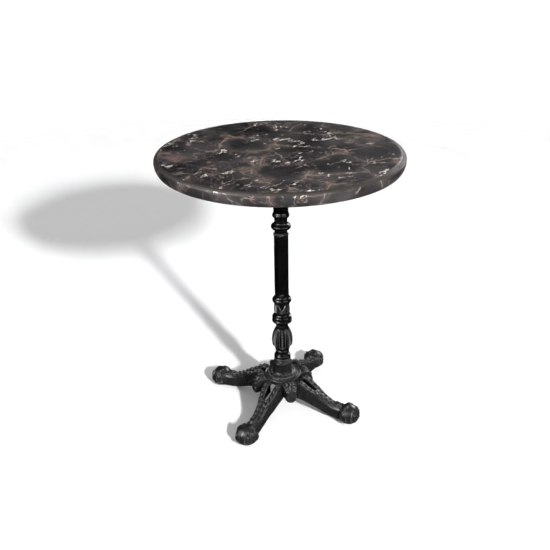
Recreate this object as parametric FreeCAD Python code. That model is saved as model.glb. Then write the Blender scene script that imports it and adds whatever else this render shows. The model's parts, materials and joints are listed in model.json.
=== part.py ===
import FreeCAD, Part

# Round bistro table: a moulded top on a cast column that stands on a four-legged cast base.
# Frame: +Z up, origin on the floor under the column's axis, millimetres. The legs point along the diagonals.
# One threaded tie rod runs up the bored column and clamps base, column and top spider between two nuts.
# Each foot stands on a levelling glide: a stud that screws into the foot and a pad that swivels on the stud.

import math
import os

from FreeCAD import Vector

# ---- driving dimensions ----
TABLE_HEIGHT = 730.0
TOP_DIAMETER = 600.0
TOP_EDGE_DEPTH = 34.0      # depth of the moulded rim
TOP_PANEL_THICK = 20.0     # thickness inside the rim
SKIN_THICK = 1.0           # decorative laminate

SHAFT_R = 18.6
COLUMN_BORE_R = 9.0
FLUTE_COUNT = 6
FLUTE_R = 12.0             # radius of the round cutter that makes a flute
FLUTE_HALF_ANGLE = 22.0    # degrees of the shaft that half a flute takes
FLUTE_LOW_Z = 352.0
FLUTE_HIGH_Z = 500.0
FLUTE_START = -106.4       # direction of the first flute in degrees from +X

SOCKET_TOP_Z = 137.0       # the column's shoulder stands here
SOCKET_FLOOR_Z = 107.0
SOCKET_R = 25.4
SOCKET_BORE_R = 20.5
COLUMN_JOINT_Z = 271.0     # lower casting meets upper casting
COLUMN_TOP_Z = 676.0       # upper casting meets the spider
SPIGOT_R = 14.0
SPIGOT_LENGTH = 13.0
SPIGOT_PLAY = 0.15

HUB_ROOF_Z = 93.0          # underside of the hub's roof, where the clamp washer bears
HUB_BOTTOM_Z = 42.0
HUB_R = 45.0
HUB_RIM_R = 47.5
HUB_RIM_TUBE_R = 3.2
HUB_CAVITY_R = 37.0
LOBE_TIP_RADIUS = 87.0     # from the table's axis to a lobe's tip
LOBE_LOW_Z = 50.0
LOBE_HALF_WIDTH = 18.5
HUB_BEAD_COUNT = 24
HUB_BEAD_R = 4.2
HUB_BEAD_RING_R = 38.0
HUB_BEAD_Z = 100.6

LEG_ANGLES = (225.0, 315.0, 45.0, 135.0)
LEG_NAMES = ("front_left", "front_right", "back_right", "back_left")
LEG_ROOF = 8.0             # metal left over the hollow of a leg, at its crest
LEG_ARCH = 0.6             # rise of a leg's rounded top, over its half width
FOOT_RADIUS = 201.0        # from the table's axis to the foot's centre
FOOT_R = 28.8
FOOT_LOW_Z = 3.0
FOOT_TOP_Z = 51.5
KNUCKLE_RADIUS = 170.0     # from the table's axis to the knuckle before the foot
KNUCKLE_R = 9.0

ROD_R = 6.0                # M12
HOLE_PLAY = 0.6
THREAD_PLAY = 0.05
HEX_M12 = 19.0             # across flats
HEX_M8 = 13.0
NUT_M12_H = 10.0

GLIDE_STUD_R = 3.95        # M8
GLIDE_HOLE_R = 4.03
GLIDE_HOLE_TOP_Z = 41.0
GLIDE_RECESS_R = 13.0
GLIDE_RECESS_TOP_Z = 10.0
GLIDE_PAD_R = 12.0
GLIDE_PAD_H = 5.5

SPIDER_PLATE_THICK = 6.0
SPIDER_BOSS_R = 32.0
SPIDER_ARM_LENGTH = 150.0
SPIDER_HOLE_RADII = (95.0, 133.0)
SCREW_R = 2.9              # M6
SCREW_LENGTH = 15.0
INSERT_R = 5.0
INSERT_H = 12.0

PANEL_UNDER_Z = TABLE_HEIGHT - TOP_PANEL_THICK
RIM_BOTTOM_Z = TABLE_HEIGHT - TOP_EDGE_DEPTH
TOP_R = TOP_DIAMETER / 2.0
CLOSING_GAP = 1e-7         # ends closer than this count as one point
Z_AXIS = Vector(0, 0, 1)
ORIGIN = Vector(0, 0, 0)


# ---- helpers ----
def outline(start, *steps):
    """A closed wire in the XZ plane. A step is (x, z) for a line, (x1, z1, x, z) for an arc
    through a middle point, or a list of points for a smooth curve through them."""
    edges = []
    here = Vector(start[0], 0, start[1])
    first = here
    for step in steps:
        if isinstance(step, list):
            points = [here] + [Vector(x, 0, z) for x, z in step]
            curve = Part.BSplineCurve()
            curve.interpolate(points)
            edges.append(curve.toShape())
            here = points[-1]
        elif len(step) == 4:
            middle = Vector(step[0], 0, step[1])
            end = Vector(step[2], 0, step[3])
            edges.append(Part.Arc(here, middle, end).toShape())
            here = end
        else:
            end = Vector(step[0], 0, step[1])
            edges.append(Part.makeLine(here, end))
            here = end
    if (here - first).Length > CLOSING_GAP:
        edges.append(Part.makeLine(here, first))
    return Part.Wire(edges)


def turned(start, *steps):
    """The outline turned into a solid round the Z axis."""
    return Part.Face(outline(start, *steps)).revolve(ORIGIN, Z_AXIS, 360)


def cylinder(radius, z_low, z_high, x=0.0, y=0.0):
    return Part.makeCylinder(radius, z_high - z_low, Vector(x, y, z_low), Z_AXIS)


def tube(outer, inner, z_low, z_high):
    return cylinder(outer, z_low, z_high).cut(cylinder(inner, z_low - 1, z_high + 1))


def extruded(wire, direction, start):
    """A flat outline pushed along a vector from a start point."""
    face = Part.Face(wire)
    face.translate(start)
    return face.extrude(direction)


def hexagon(across_flats, z_low, z_high):
    """A hexagonal prism with its corners rounded off as on a real nut."""
    corner = across_flats / math.sqrt(3)
    points = [
        Vector(corner * math.cos(math.radians(60 * i)), corner * math.sin(math.radians(60 * i)), z_low)
        for i in range(7)
    ]
    prism = Part.Face(Part.makePolygon(points)).extrude(Vector(0, 0, z_high - z_low))
    bevel = (corner - across_flats / 2.0) * 0.9
    rounding = turned(
        (0, z_low), (corner - bevel, z_low), (corner, z_low + bevel * 0.6),
        (corner, z_high - bevel * 0.6), (corner - bevel, z_high), (0, z_high),
    )
    return prism.common(rounding)


def nut(across_flats, thread_r, z_low, z_high):
    return hexagon(across_flats, z_low, z_high).cut(cylinder(thread_r + THREAD_PLAY, z_low - 1, z_high + 1))


def moved(shape, x=0.0, y=0.0, z=0.0, turn=0.0):
    """A copy turned about Z, after a shift."""
    copy = shape.copy()
    copy.translate(Vector(x, y, z))
    copy.rotate(ORIGIN, Z_AXIS, turn)
    return copy


def around(shape, count, x=0.0, start=0.0):
    return [moved(shape, x=x, turn=start + 360.0 * i / count) for i in range(count)]


def fused(shapes):
    result = shapes[0].multiFuse(shapes[1:]) if len(shapes) > 1 else shapes[0]
    return result.removeSplitter()


def export(name, shape):
    solids = shape.Solids
    out = solids[0] if len(solids) == 1 else Part.makeCompound(solids)
    out.exportStep(os.path.join("parts", name + ".step"))
    print(name, len(solids), "valid" if out.isValid() else "INVALID", round(out.Volume / 1000.0, 1), "cm3")


# ---- cast base: hub, four forked legs, four drop lobes and four feet ----
# Rows of (distance from the table's axis, value); values between rows follow straight lines.
CREST = [
    (36, 90), (51, 90), (60, 94), (71, 92), (85, 83), (105, 72), (122, 63), (147, 49), (160, 45), (190, 41),
]
UNDERSIDE = [(30, 45), (60, 43), (85, 37), (105, 28), (122, 20), (141, 13), (160, 9), (215, 7.5)]
BAR_OFFSET = [(36, 16.8), (60, 16.8), (85, 15), (105, 11.5), (120, 7)]
BAR_HALF_WIDTH = [(36, 8.2), (60, 8.2), (85, 8), (120, 7.5)]
ARM_HALF_WIDTH = [(104, 18), (122, 16.5), (147, 15), (190, 15)]
HOLLOW_HALF_WIDTH = [(30, 20), (60, 20), (85, 17.5), (105, 13.5), (122, 11.5), (147, 10), (168, 10)]
BAR_STATIONS = (36, 51, 60, 71, 85, 105, 120)
ARM_STATIONS = (104, 112, 122, 147, 160, 190)
HOLLOW_STATIONS = (30, 51, 60, 71, 85, 105, 122, 147, 160, 168)
BAR_DROP = 1.0             # the bars' crest lies this far below the arm's


def value_at(rows, x):
    for (x0, v0), (x1, v1) in zip(rows, rows[1:]):
        if x0 <= x <= x1:
            return v0 + (v1 - v0) * (x - x0) / (x1 - x0)
    return rows[0][1] if x < rows[0][0] else rows[-1][1]


def arched_section(x, y, half_width, low_z, high_z):
    """Upright section across a leg: flat bottom, straight sides and a round top."""
    shoulder_z = high_z - LEG_ARCH * half_width
    low_left = Vector(x, y - half_width, low_z)
    low_right = Vector(x, y + half_width, low_z)
    top_left = Vector(x, y - half_width, shoulder_z)
    top_right = Vector(x, y + half_width, shoulder_z)
    return Part.Wire([
        Part.makeLine(low_left, low_right),
        Part.makeLine(low_right, top_right),
        Part.Arc(top_right, Vector(x, y, high_z), top_left).toShape(),
        Part.makeLine(top_left, low_left),
    ])


def leg_beam(stations, half_width, low_z, side=0):
    """A beam lofted along the leg: the arm, or with side -1 or 1 one bar of the fork."""
    sections = []
    for x in stations:
        y = side * value_at(BAR_OFFSET, x)
        high_z = value_at(CREST, x) - BAR_DROP * abs(side)
        sections.append(arched_section(x, y, value_at(half_width, x), low_z, high_z))
    return Part.makeLoft(sections, True, False)


def leg_hollow():
    """The hollow under a leg: one room below both bars, running from the hub to the foot."""
    low_z, shoulder, bevel = -12.0, 5.0, 7.0
    sections = []
    for x in HOLLOW_STATIONS:
        width = value_at(HOLLOW_HALF_WIDTH, x)
        roof_z = value_at(CREST, x) - LEG_ROOF
        sections.append(Part.makePolygon([
            Vector(x, -width, low_z), Vector(x, width, low_z), Vector(x, width, roof_z - shoulder),
            Vector(x, width - bevel, roof_z), Vector(x, bevel - width, roof_z),
            Vector(x, -width, roof_z - shoulder), Vector(x, -width, low_z),
        ]))
    return Part.makeLoft(sections, True, True)


def under_leg():
    """The space below a leg, cut away to leave its arched underside."""
    low_z = -20.0
    side = outline(UNDERSIDE[0], UNDERSIDE[1:], (UNDERSIDE[-1][0], low_z), (UNDERSIDE[0][0], low_z))
    return extruded(side, Vector(0, 100, 0), Vector(0, -50, 0))


def leg():
    """One leg along +X: a fork of two bars that merge into an arm, a knuckle and the foot."""
    beams = fused([
        leg_beam(ARM_STATIONS, ARM_HALF_WIDTH, -6.0),
        leg_beam(BAR_STATIONS, BAR_HALF_WIDTH, -5.0, side=1),
        leg_beam(BAR_STATIONS, BAR_HALF_WIDTH, -5.0, side=-1),
    ]).cut(under_leg())
    knuckle = Part.makeSphere(KNUCKLE_R, Vector(KNUCKLE_RADIUS, 0, value_at(CREST, KNUCKLE_RADIUS) - 1.0))
    return fused([beams, knuckle, moved(foot(), x=FOOT_RADIUS)])


def lobe():
    """A tongue that juts out of the hub between two legs, along +X: what its side, front and plan share."""
    low, tip = LOBE_LOW_Z, LOBE_TIP_RADIUS
    side = outline(
        (36, low + 1),
        [(60, low), (tip - 12, low + 1), (tip - 4, low + 5), (tip - 0.5, low + 12), (tip - 2.5, low + 21),
         (tip - 6, low + 29), (tip - 11, low + 39), (tip - 18, low + 46), (60, low + 48), (50, low + 46)],
        (36, low + 45),
    )
    wide, shoulder = LOBE_HALF_WIDTH, low + 17
    front = outline((-wide, 100), (-wide, shoulder), (0, low, wide, shoulder), (wide, 100))
    front.rotate(ORIGIN, Z_AXIS, 90)
    plan = outline((30, -20), (60, -19), (tip - 13, -16), (tip, 0, tip - 13, 16), (60, 19), (30, 20))
    plan.rotate(ORIGIN, Vector(1, 0, 0), 90)
    seen_from_side = extruded(side, Vector(0, 60, 0), Vector(0, -30, 0))
    seen_from_front = extruded(front, Vector(80, 0, 0), Vector(25, 0, 0))
    seen_from_above = extruded(plan, Vector(0, 0, 100), Vector(0, 0, 20))
    return seen_from_side.common(seen_from_front).common(seen_from_above)


def lobe_hollow():
    """The room inside a lobe, open below; it stops short of the rounded nose."""
    low, tip = LOBE_LOW_Z, LOBE_TIP_RADIUS
    side = outline(
        (30, low - 10), (tip - 19, low - 10), (tip - 17, low + 6), (tip - 9, low + 13), (tip - 12, low + 31),
        (tip - 20, low + 39), (30, low + 38),
    )
    return extruded(side, Vector(0, 19, 0), Vector(0, -9.5, 0))


def hub_outside():
    rim_low = HUB_RIM_R - HUB_RIM_TUBE_R
    return turned(
        (0, HUB_BOTTOM_Z), (HUB_R - 5, HUB_BOTTOM_Z), (HUB_R - 1, 55, HUB_R, 92),
        (HUB_RIM_R, 92), (HUB_RIM_R + HUB_RIM_TUBE_R, 95.5, HUB_RIM_R, 99), (rim_low, 96.5),
        (rim_low - 3, 98), (36, 103.5, 30, 104.5), (28.5, 105.5), (26.2, 108, SOCKET_R, 112),
        (SOCKET_R, SOCKET_TOP_Z - 1), (SOCKET_R - 1, SOCKET_TOP_Z), (0, SOCKET_TOP_Z),
    )


def hub_inside():
    """Everything cut out of the hub: the column's socket, the rod hole and the cavity below."""
    socket = cylinder(SOCKET_BORE_R, SOCKET_FLOOR_Z, SOCKET_TOP_Z + 1)
    rod_hole = cylinder(ROD_R + HOLE_PLAY, HUB_ROOF_Z - 1, SOCKET_FLOOR_Z + 1)
    cavity = turned(
        (0, 0), (HUB_CAVITY_R + 1, 0), (HUB_CAVITY_R + 1, HUB_BOTTOM_Z + 5),
        (HUB_CAVITY_R - 4, HUB_ROOF_Z - 4), (HUB_CAVITY_R - 8, HUB_ROOF_Z), (0, HUB_ROOF_Z),
    )
    return [socket, rod_hole, cavity]


def hub_beading():
    """The ring of beads round the dish between the socket and the rim."""
    return around(Part.makeSphere(HUB_BEAD_R, Vector(0, 0, HUB_BEAD_Z)), HUB_BEAD_COUNT, x=HUB_BEAD_RING_R)


def foot():
    """A round foot with a flat base, on the Z axis."""
    return turned(
        (0, FOOT_LOW_Z), (GLIDE_RECESS_R + 2.5, FOOT_LOW_Z),
        (FOOT_R - 3.5, 9.5, FOOT_R, 24), (FOOT_R - 7, FOOT_TOP_Z - 9, 0, FOOT_TOP_Z),
    )


def glide_hole():
    """Glide recess and tapped hole of one foot, on the Z axis."""
    return fused([
        cylinder(GLIDE_RECESS_R, 0, GLIDE_RECESS_TOP_Z),
        cylinder(GLIDE_HOLE_R, 0, GLIDE_HOLE_TOP_Z),
    ])


def base_casting():
    """All that stands on the floor as one casting, hollowed from below."""
    hub = fused([hub_outside()] + [moved(lobe(), turn=angle + 45.0) for angle in LEG_ANGLES] + hub_beading())
    body = fused([hub] + [moved(leg(), turn=angle) for angle in LEG_ANGLES])
    hollows = hub_inside()
    for angle in LEG_ANGLES:
        hollows.append(moved(leg_hollow(), turn=angle))
        hollows.append(moved(lobe_hollow(), turn=angle + 45.0))
        hollows.append(moved(glide_hole(), x=FOOT_RADIUS, turn=angle))
    return body.cut(hollows)


# ---- column ----
def column_lower():
    """Collar, ring, baluster and calyx; a spigot at each end locates it."""
    z_joint = COLUMN_JOINT_Z
    body = turned(
        (COLUMN_BORE_R, SOCKET_FLOOR_Z + 1.5), (SOCKET_BORE_R - 1.2, SOCKET_FLOOR_Z + 1.5),
        (SOCKET_BORE_R - 0.2, SOCKET_FLOOR_Z + 2.5), (SOCKET_BORE_R - 0.2, SOCKET_TOP_Z),
        (22.8, SOCKET_TOP_Z), (22.8, 149.5), (20.6, 150), (22.6, 155.5, 19.0, 161),
        (17.4, 161.5), (16.2, 165, 16.9, 168.8), (19.1, 172, 17.2, 175), (17.2, 176),
        [(20.0, 180.5), (23.2, 187), (25.9, 197), (26.3, 206),
         (24.5, 221), (20.6, 233), (16.8, 243), (15.8, 248)],
        (19.2, 257, 26.0, 263.5), (27.0, 266.2, 26.0, 269), (24.2, 269.5), (24.2, z_joint),
        (SPIGOT_R, z_joint),
        (SPIGOT_R, z_joint + SPIGOT_LENGTH - 1), (SPIGOT_R - 1, z_joint + SPIGOT_LENGTH),
        (COLUMN_BORE_R, z_joint + SPIGOT_LENGTH),
    )
    return body


def flutes():
    """Round cutters for the shaft, closed by a ball at each end."""
    edge = math.radians(FLUTE_HALF_ANGLE)
    reach = math.sqrt(FLUTE_R ** 2 - (SHAFT_R * math.sin(edge)) ** 2)
    x = SHAFT_R * math.cos(edge) + reach
    cutter = fused([
        cylinder(FLUTE_R, FLUTE_LOW_Z, FLUTE_HIGH_Z, x=x),
        Part.makeSphere(FLUTE_R, Vector(x, 0, FLUTE_LOW_Z)),
        Part.makeSphere(FLUTE_R, Vector(x, 0, FLUTE_HIGH_Z)),
    ])
    return around(cutter, FLUTE_COUNT, start=FLUTE_START)


def column_upper():
    """Ringed and fluted shaft with a flared head under the spider."""
    z_low, z_top = COLUMN_JOINT_Z, COLUMN_TOP_Z
    bore_end = z_low + SPIGOT_LENGTH + 1.0
    body = turned(
        (SPIGOT_R + SPIGOT_PLAY, z_low), (24.2, z_low), (24.2, z_low + 1),
        (26.2, z_low + 5, 24.4, z_low + 9.6),
        (20.4, 283, 18.9, 289), (18.9, 318.5), (19.6, 320.5), (23.2, 321.5), (25.6, 327.5, 23.6, 333),
        (20.0, 336.5, SHAFT_R, 343), (SHAFT_R, 509), (18.4, 514.5, 16.0, 519), (16.0, 526.5),
        (18.4, 528.5), (22.6, 530), (25.4, 535.5, 23.2, 541), (18.8, 543, 16.5, 549), (16.5, 559.5),
        (19.6, 561), (21.8, 566, 20.0, 571), (18.8, 574), (18.8, 624), (20.4, 625), (23.0, 629.5, 20.4, 634),
        (19.4, 635), (22.0, 655, 31.0, 667), (32.0, 668.5), (32.0, z_top), (SPIGOT_R, z_top),
        (SPIGOT_R, z_top + SPIGOT_LENGTH - 1), (SPIGOT_R - 1, z_top + SPIGOT_LENGTH),
        (COLUMN_BORE_R, z_top + SPIGOT_LENGTH), (COLUMN_BORE_R, bore_end),
        (SPIGOT_R + SPIGOT_PLAY, bore_end),
    )
    return body.cut(flutes())


# ---- top spider: four arms that carry the panel ----
SPIDER_TOP_Z = PANEL_UNDER_Z
SPIDER_POCKET_Z = SPIDER_TOP_Z - 14.0   # floor of the nut's pocket


def spider_arm():
    """A tapered arm along +X with a round tip, and the rib under it."""
    plate_low = SPIDER_TOP_Z - SPIDER_PLATE_THICK
    root_half, tip_half, rib_half = 22.0, 17.0, 3.0
    tip_x = SPIDER_ARM_LENGTH - tip_half
    plate = Part.Face(Part.makePolygon([
        Vector(10, -root_half, plate_low), Vector(tip_x, -tip_half, plate_low),
        Vector(tip_x, tip_half, plate_low), Vector(10, root_half, plate_low), Vector(10, -root_half, plate_low),
    ])).extrude(Vector(0, 0, SPIDER_PLATE_THICK))
    tip = cylinder(tip_half, plate_low, SPIDER_TOP_Z, x=tip_x)
    rib = Part.Face(Part.makePolygon([
        Vector(26, -rib_half, plate_low + 1), Vector(26, -rib_half, COLUMN_TOP_Z + 6),
        Vector(tip_x, -rib_half, plate_low + 1), Vector(26, -rib_half, plate_low + 1),
    ])).extrude(Vector(0, 2 * rib_half, 0))
    return [plate, tip, rib]


def spider_screw_places():
    """(x, y) in the arm's own frame; the rib runs down the middle, so the screws alternate sides."""
    side = 9.5
    return [(SPIDER_HOLE_RADII[0], side), (SPIDER_HOLE_RADII[1], -side)]


def top_spider():
    boss = turned(
        (0, COLUMN_TOP_Z), (SPIDER_BOSS_R - 1, COLUMN_TOP_Z), (SPIDER_BOSS_R, COLUMN_TOP_Z + 1),
        (SPIDER_BOSS_R, SPIDER_TOP_Z), (0, SPIDER_TOP_Z),
    )
    pieces = [boss]
    for angle in LEG_ANGLES:
        pieces += [moved(shape, turn=angle) for shape in spider_arm()]
    body = fused(pieces)
    cuts = [
        cylinder(SPIGOT_R + SPIGOT_PLAY, COLUMN_TOP_Z - 1, COLUMN_TOP_Z + SPIGOT_LENGTH + 0.5),
        cylinder(ROD_R + HOLE_PLAY, COLUMN_TOP_Z, SPIDER_TOP_Z + 1),
        cylinder(HEX_M12 / 2 + 4.5, SPIDER_POCKET_Z, SPIDER_TOP_Z + 1),
    ]
    for angle in LEG_ANGLES:
        for x, y in spider_screw_places():
            hole = cylinder(SCREW_R + 0.4, COLUMN_TOP_Z, SPIDER_TOP_Z + 1, x=x, y=y)
            cuts.append(moved(hole, turn=angle))
    return body.cut(cuts)


# ---- top: moulded panel with its decorative skin ----
def panel_edge(inset):
    """The rounded rim from the flat top to the lip, inset by the skin's thickness."""
    k = inset
    return [
        (TOP_R - 8, TABLE_HEIGHT - k),
        (TOP_R - 1.9 - 0.8 * k, TABLE_HEIGHT - 2.8 - 0.8 * k, TOP_R - k, TABLE_HEIGHT - 10),
        (TOP_R - 2.4 - k, TABLE_HEIGHT - 22, TOP_R - 11 - 0.6 * k, RIM_BOTTOM_Z + k),
    ]


def decor_skin():
    lip_x = TOP_R - 19
    outer = panel_edge(0)
    inner = panel_edge(SKIN_THICK)
    solid = turned((0, TABLE_HEIGHT - 15), (0, TABLE_HEIGHT), *outer, (lip_x, RIM_BOTTOM_Z),
                   (lip_x, RIM_BOTTOM_Z + SKIN_THICK), (lip_x, TABLE_HEIGHT - 15))
    filling = turned((0, TABLE_HEIGHT - 16), (0, TABLE_HEIGHT - SKIN_THICK), *inner,
                     (lip_x - 5, RIM_BOTTOM_Z + SKIN_THICK), (lip_x - 5, TABLE_HEIGHT - 16))
    return solid.cut(filling)


def insert_places():
    """(x, y) of every panel screw, in the table's frame."""
    places = []
    for angle in LEG_ANGLES:
        turn = math.radians(angle)
        for x, y in spider_screw_places():
            places.append((x * math.cos(turn) - y * math.sin(turn), x * math.sin(turn) + y * math.cos(turn)))
    return places


def top_panel():
    inner = panel_edge(SKIN_THICK)
    lip_x = TOP_R - 19
    body = turned((0, PANEL_UNDER_Z), (0, TABLE_HEIGHT - SKIN_THICK), *inner,
                  (lip_x, RIM_BOTTOM_Z + SKIN_THICK), (lip_x - 3, RIM_BOTTOM_Z + 4),
                  (lip_x - 9, PANEL_UNDER_Z - 2, lip_x - 14, PANEL_UNDER_Z))
    holes = [cylinder(INSERT_R, PANEL_UNDER_Z - 1, PANEL_UNDER_Z + INSERT_H, x=x, y=y)
             for x, y in insert_places()]
    return body.cut(holes)


def panel_inserts():
    one = tube(INSERT_R - 0.03, SCREW_R + THREAD_PLAY, PANEL_UNDER_Z, PANEL_UNDER_Z + INSERT_H - 0.5)
    return Part.makeCompound([moved(one, x=x, y=y) for x, y in insert_places()])


def panel_screws():
    head_top = SPIDER_TOP_Z - SPIDER_PLATE_THICK
    head_low = head_top - 3.6
    head = turned((0, head_low), (3.4, head_low), (5.3, head_low + 1.2, 5.8, head_top), (0, head_top))
    shank = cylinder(SCREW_R, head_top - 0.5, head_top + SCREW_LENGTH)
    socket = hexagon(4.0, head_top - 4, head_top - 1.6)
    one = head.fuse(shank).removeSplitter().cut(socket)
    return Part.makeCompound([moved(one, x=x, y=y) for x, y in insert_places()])


# ---- tie rod and its fasteners ----
WASHER_LOW_Z = HUB_ROOF_Z - 5.0
SPRING_LOW_Z = WASHER_LOW_Z - 3.0
LOWER_NUT_LOW_Z = SPRING_LOW_Z - NUT_M12_H
UPPER_WASHER_H = 2.5
UPPER_NUT_LOW_Z = SPIDER_POCKET_Z + UPPER_WASHER_H


def tie_rod():
    low_z = LOWER_NUT_LOW_Z - 8
    high_z = SPIDER_TOP_Z - 0.5
    return turned(
        (0, low_z), (ROD_R - 1, low_z), (ROD_R, low_z + 1),
        (ROD_R, high_z - 1), (ROD_R - 1, high_z), (0, high_z),
    )


def lower_clamp_washer():
    return turned(
        (ROD_R + 0.5, WASHER_LOW_Z), (24, WASHER_LOW_Z), (26, WASHER_LOW_Z + 1.5), (26, HUB_ROOF_Z),
        (ROD_R + 0.5, HUB_ROOF_Z),
    )


def lower_spring_washer():
    ring = tube(10.4, ROD_R + 0.3, SPRING_LOW_Z, WASHER_LOW_Z)
    gap = Part.makeBox(12, 1.6, 6, Vector(0, -0.8, SPRING_LOW_Z - 1))
    gap.rotate(Vector(8, 0, SPRING_LOW_Z + 1.5), Vector(1, 0, 0), 25)
    return ring.cut(gap)


# ---- levelling glides ----
SWIVEL_HEAD_R = 6.0
SWIVEL_HEAD_LOW_Z = 1.5
SWIVEL_HEAD_HIGH_Z = 3.5
SWIVEL_NECK_R = 4.5
SWIVEL_PLAY = 0.08
STUD_HEX_LOW_Z = GLIDE_PAD_H + 0.2
STUD_HEX_HIGH_Z = GLIDE_RECESS_TOP_Z - 0.4
STUD_TOP_Z = GLIDE_HOLE_TOP_Z - 3.0


def glide_stud():
    """Swivel head, neck, hexagon and M8 shank on the Z axis."""
    return fused([
        cylinder(SWIVEL_HEAD_R, SWIVEL_HEAD_LOW_Z, SWIVEL_HEAD_HIGH_Z),
        cylinder(SWIVEL_NECK_R, SWIVEL_HEAD_HIGH_Z - 0.5, STUD_HEX_LOW_Z + 0.5),
        hexagon(HEX_M8, STUD_HEX_LOW_Z, STUD_HEX_HIGH_Z),
        turned(
            (0, STUD_HEX_HIGH_Z - 0.5), (GLIDE_STUD_R, STUD_HEX_HIGH_Z - 0.5), (GLIDE_STUD_R, STUD_TOP_Z - 1),
            (GLIDE_STUD_R - 1, STUD_TOP_Z), (0, STUD_TOP_Z),
        ),
    ])


def glide_pad():
    """Moulded pad with the snap-in room for the stud's swivel head, on the Z axis."""
    body = turned(
        (0, 0), (GLIDE_PAD_R - 1.5, 0), (GLIDE_PAD_R, 1.5), (GLIDE_PAD_R, GLIDE_PAD_H - 1),
        (GLIDE_PAD_R - 1, GLIDE_PAD_H), (0, GLIDE_PAD_H),
    )
    head_room = cylinder(
        SWIVEL_HEAD_R + SWIVEL_PLAY, SWIVEL_HEAD_LOW_Z - SWIVEL_PLAY, SWIVEL_HEAD_HIGH_Z + SWIVEL_PLAY,
    )
    neck_room = cylinder(SWIVEL_NECK_R + SWIVEL_PLAY, SWIVEL_HEAD_HIGH_Z, GLIDE_PAD_H + 1)
    return body.cut([head_room, neck_room])


# ---- write every node ----
os.makedirs("parts", exist_ok=True)
export("base_casting", base_casting())
export("column_lower", column_lower())
export("column_upper", column_upper())
export("top_spider", top_spider())
export("top_panel", top_panel())
export("decor_skin", decor_skin())
export("panel_inserts", panel_inserts())
export("panel_screws", panel_screws())
export("tie_rod", tie_rod())
export("lower_clamp_washer", lower_clamp_washer())
export("lower_spring_washer", lower_spring_washer())
export("lower_rod_nut", nut(HEX_M12, ROD_R, LOWER_NUT_LOW_Z, SPRING_LOW_Z))
export("upper_rod_washer", tube(12.0, ROD_R + 0.5, SPIDER_POCKET_Z, UPPER_NUT_LOW_Z))
export("upper_rod_nut", nut(HEX_M12, ROD_R, UPPER_NUT_LOW_Z, UPPER_NUT_LOW_Z + NUT_M12_H))
for name, angle in zip(LEG_NAMES, LEG_ANGLES):
    export("glide_stud_" + name, moved(glide_stud(), x=FOOT_RADIUS, turn=angle))
    export("glide_pad_" + name, moved(glide_pad(), x=FOOT_RADIUS, turn=angle))
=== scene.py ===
import json
import math

import bpy
import numpy as np
from mathutils import Matrix, Vector
from mathutils.bvhtree import BVHTree


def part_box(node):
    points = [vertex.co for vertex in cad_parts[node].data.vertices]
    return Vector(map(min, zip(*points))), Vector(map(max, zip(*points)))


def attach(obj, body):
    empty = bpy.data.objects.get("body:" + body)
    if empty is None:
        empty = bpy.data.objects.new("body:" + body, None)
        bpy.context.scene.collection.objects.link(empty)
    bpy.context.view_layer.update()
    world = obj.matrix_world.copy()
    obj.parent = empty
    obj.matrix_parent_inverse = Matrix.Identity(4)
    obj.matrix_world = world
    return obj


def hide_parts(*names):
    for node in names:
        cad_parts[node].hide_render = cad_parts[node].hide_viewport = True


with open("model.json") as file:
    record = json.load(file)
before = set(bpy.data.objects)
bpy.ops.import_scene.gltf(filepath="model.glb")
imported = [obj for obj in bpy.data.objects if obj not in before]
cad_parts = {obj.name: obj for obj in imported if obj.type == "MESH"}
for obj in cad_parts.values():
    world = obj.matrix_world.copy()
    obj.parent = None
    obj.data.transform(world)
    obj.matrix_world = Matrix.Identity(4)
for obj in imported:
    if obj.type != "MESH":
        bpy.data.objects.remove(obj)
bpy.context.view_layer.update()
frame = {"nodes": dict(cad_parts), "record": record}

MM = 0.001
FRONT_ANGLE = math.radians(-106.4)   # the side of the column that faces the main view
LEG_ANGLES = [math.radians(a) for a in (45, 135, 225, 315)]
LOBE_ANGLES = [math.radians(a) for a in (0, 90, 180, 270)]
FOOT_RADIUS = 201 * MM
BODY = "base"


# ---------------------------------------------------------------- mesh helpers
def new_piece(name, vertices, faces, smooth=True):
    mesh = bpy.data.meshes.new(name)
    mesh.from_pydata([tuple(v) for v in vertices], [], faces)
    mesh.validate()
    mesh.update()
    for polygon in mesh.polygons:
        polygon.use_smooth = smooth
    piece = bpy.data.objects.new(name, mesh)
    bpy.context.scene.collection.objects.link(piece)
    return piece


def finish_piece(piece, material, slot, *replaced):
    piece.data.materials.clear()
    piece.data.materials.append(material)
    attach(piece, BODY)
    if replaced:
        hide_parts(*replaced)
    return piece


def grid_faces(rows, columns, first=0):
    """Quads between rows of a grid whose columns close into a ring."""
    faces = []
    for i in range(rows - 1):
        for j in range(columns):
            k = (j + 1) % columns
            low, high = first + i * columns, first + (i + 1) * columns
            faces.append((low + j, low + k, high + k, high + j))
    return faces


def turned_piece(name, profile, segments):
    """A closed surface turned from (radius, z) points; the first and last point lie on the axis."""
    rings = profile[1:-1]
    vertices = []
    for radius, z in rings:
        for j in range(segments):
            angle = 2 * math.pi * j / segments
            vertices.append((radius * math.cos(angle), radius * math.sin(angle), z))
    faces = grid_faces(len(rings), segments)
    low, high = len(vertices), len(vertices) + 1
    vertices += [(0, 0, profile[0][1]), (0, 0, profile[-1][1])]
    top = (len(rings) - 1) * segments
    for j in range(segments):
        k = (j + 1) % segments
        faces.append((low, k, j))
        faces.append((high, top + j, top + k))
    return new_piece(name, vertices, faces)


def arc_points(centre, radius_x, radius_z, start, stop, steps):
    """Points on an ellipse arc in the (radius, z) plane, angles in degrees."""
    points = []
    for i in range(steps + 1):
        angle = math.radians(start + (stop - start) * i / steps)
        points.append((centre[0] + radius_x * math.cos(angle), centre[1] + radius_z * math.sin(angle)))
    return points


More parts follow.
